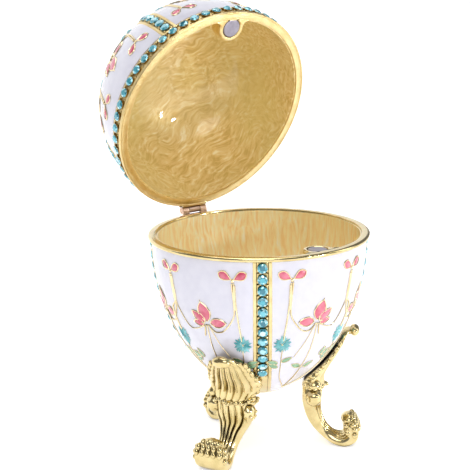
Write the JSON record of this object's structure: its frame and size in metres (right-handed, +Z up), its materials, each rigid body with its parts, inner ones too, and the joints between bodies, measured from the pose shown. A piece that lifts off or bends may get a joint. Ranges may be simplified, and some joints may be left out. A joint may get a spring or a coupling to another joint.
{
  "type": "jewelled egg trinket box",
  "caption": "Egg-shaped trinket box, enamelled and set with stones: a cup on scroll feet, and a hinged lid with a magnetic catch, shown open.",
  "frame": {"origin": "on the ground, under the middle of the open box's whole extent", "axes": "+Z up; -Y is the front, where the magnetic catch is; the hinge pin lies along X at the back of the cup"},
  "size_m": [0.065, 0.088, 0.1311],
  "materials": {
    "gold": "bright gold plating over a cast zinc alloy",
    "rose_gold": "satin, slightly pink plated brass",
    "white_enamel": "glossy cold enamel, flush with its cast borders, with coloured flowers",
    "pearl_enamel": "glossy golden pearl enamel with brushed swirls",
    "aqua_stone": "faceted, foil backed",
    "magnet_steel": "nickel-plated, slightly dull"
  },
  "bodies": {
    "base": {"cup": "gold", "foot_left": "gold", "foot_right": "gold", "foot_back": "gold", "hinge_cup_leaf": "rose_gold", "hinge_pin": "rose_gold", "cup_enamel_1": "white_enamel", "cup_stones_1": "aqua_stone", "cup_enamel_2": "white_enamel", "cup_stones_2": "aqua_stone", "cup_enamel_3": "white_enamel", "cup_stones_3": "aqua_stone", "cup_enamel_4": "white_enamel", "cup_stones_4": "aqua_stone", "cup_lining": "pearl_enamel", "cup_magnet": "magnet_steel"},
    "lid": {"lid": "gold", "lid_enamel_1": "white_enamel", "lid_stones_1": "aqua_stone", "lid_enamel_2": "white_enamel", "lid_stones_2": "aqua_stone", "lid_enamel_3": "white_enamel", "lid_stones_3": "aqua_stone", "lid_enamel_4": "white_enamel", "lid_stones_4": "aqua_stone", "lid_lining": "pearl_enamel", "lid_magnet": "magnet_steel", "hinge_lid_leaf": "rose_gold"}
  },
  "joints": [
    {"name": "lid_hinge", "type": "hinge", "parent": "base", "child": "lid", "pos_m": [0, 0.02256, 0.0663], "axis": [1, 0, 0], "range_deg": [0, 69.5]}
  ]
}
